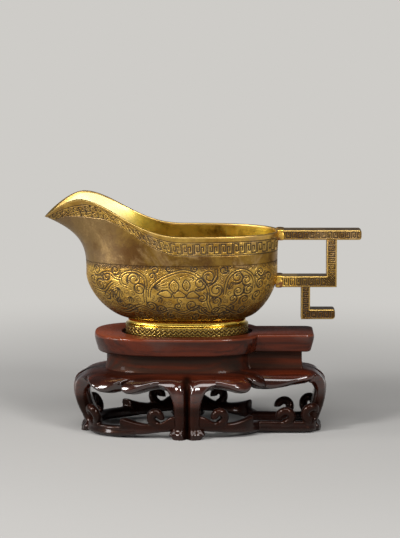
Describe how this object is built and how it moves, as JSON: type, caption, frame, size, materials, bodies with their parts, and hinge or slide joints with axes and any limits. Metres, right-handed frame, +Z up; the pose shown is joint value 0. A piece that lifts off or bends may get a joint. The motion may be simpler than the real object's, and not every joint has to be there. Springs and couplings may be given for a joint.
{
  "type": "sauce boat",
  "caption": "Gilt bronze pouring boat with raised open spout, square-bar handle and oval foot, sitting in the recess of a fitted carved hardwood stand with bulging legs and scroll rails.",
  "frame": {"origin": "on the floor under the middle of the overall length", "axes": "+X from the spout towards the handle, +Z up"},
  "size_m": [0.158, 0.0676, 0.1185],
  "materials": {
    "gilt_bronze": "engraved gilt bronze, olive gold with brown patina",
    "bright_gilt": "polished bright gilding",
    "braze": "satin braze metal",
    "dark_hardwood": "polished dark red-brown hardwood"
  },
  "bodies": {
    "stand": {"stand_top_board": "dark_hardwood", "stand_waist": "dark_hardwood", "leg_front": "dark_hardwood", "leg_back": "dark_hardwood", "leg_spout_end": "dark_hardwood", "leg_handle_end": "dark_hardwood", "apron_front_spout": "dark_hardwood", "apron_front_handle": "dark_hardwood", "apron_back_spout": "dark_hardwood", "apron_back_handle": "dark_hardwood", "rail_front_spout": "dark_hardwood", "rail_front_handle": "dark_hardwood", "rail_back_spout": "dark_hardwood", "rail_back_handle": "dark_hardwood"},
    "boat": {"boat_bowl": "gilt_bronze", "foot_ring": "bright_gilt", "handle_top_bar": "gilt_bronze", "handle_upright": "gilt_bronze", "handle_lower_bar": "gilt_bronze", "handle_drop_bar": "gilt_bronze", "handle_hook_bar": "gilt_bronze", "upper_braze": "braze", "lower_braze": "braze"}
  },
  "joints": [
    {"name": "boat_lift", "type": "slide", "parent": "stand", "child": "boat", "axis": [0, 0, 1], "range_m": [0, 0.04]}
  ]
}
